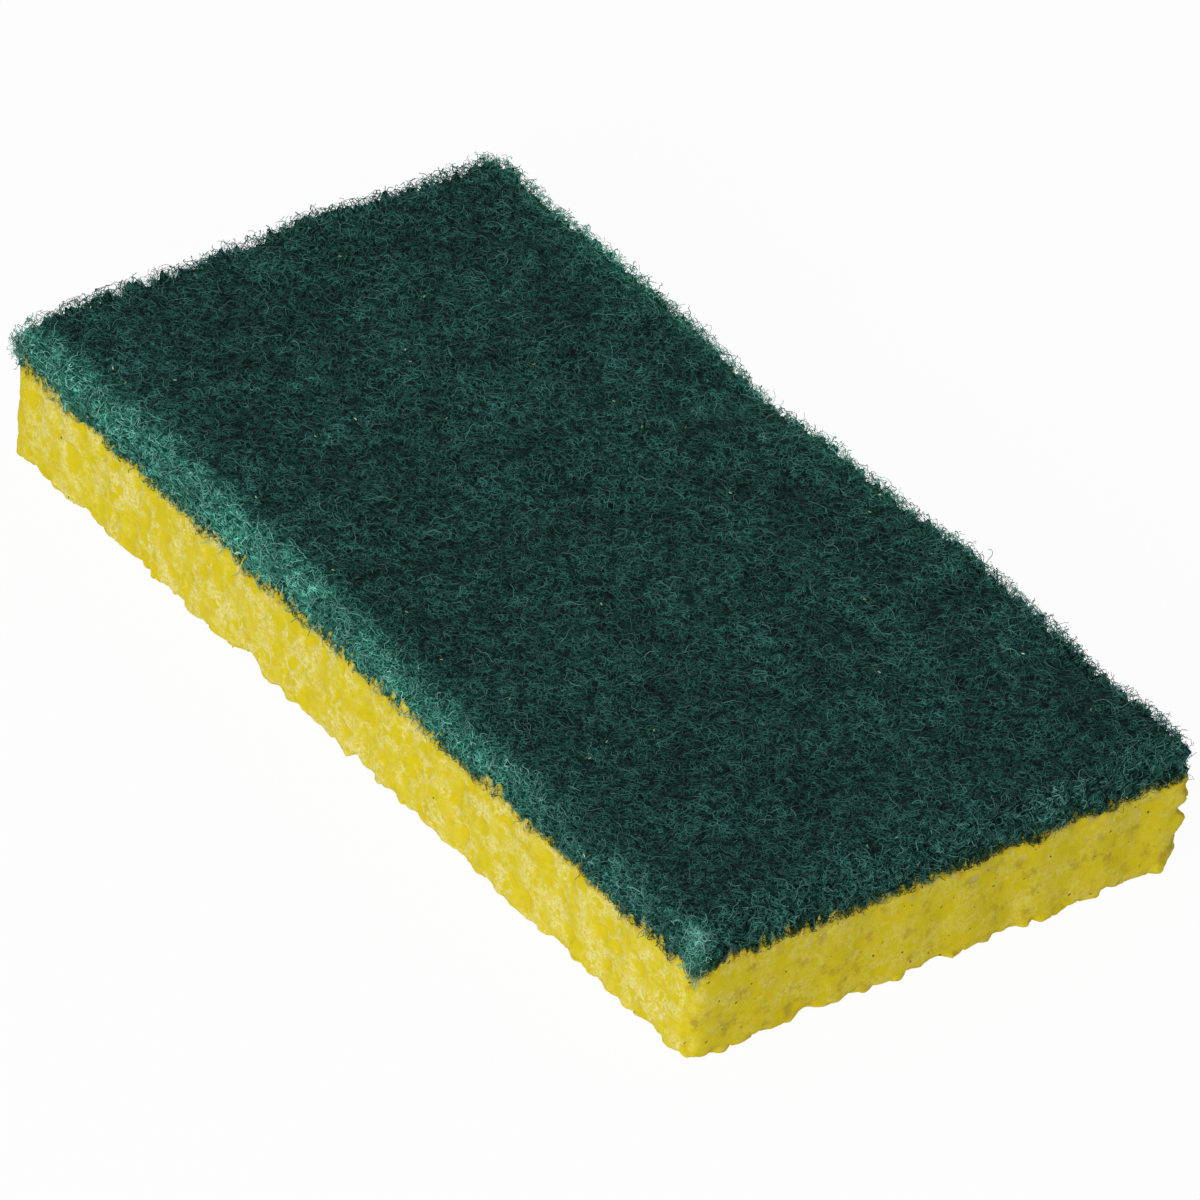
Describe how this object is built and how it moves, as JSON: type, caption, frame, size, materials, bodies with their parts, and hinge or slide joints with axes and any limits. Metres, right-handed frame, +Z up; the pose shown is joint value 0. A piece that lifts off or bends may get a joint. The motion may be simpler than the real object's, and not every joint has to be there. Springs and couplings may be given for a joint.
{
  "type": "cleaning sponge",
  "caption": "Flat rectangular scrub sponge: a porous yellow cellulose block with a green fibre scouring pad bonded over its whole top.",
  "frame": {"origin": "middle of the underside, on the plane that the sponge rests on", "axes": "+X along the length, +Y across the width, +Z up through the block to the scouring pad"},
  "size_m": [0.159, 0.082, 0.0228],
  "materials": {
    "cellulose": "matt open-cell cellulose foam, dyed lemon yellow",
    "scouring_web": "matted crimped fibres bound with dark green abrasive resin"
  },
  "bodies": {
    "root": {"sponge_block": "cellulose", "scour_pad": "scouring_web"}
  },
  "joints": []
}
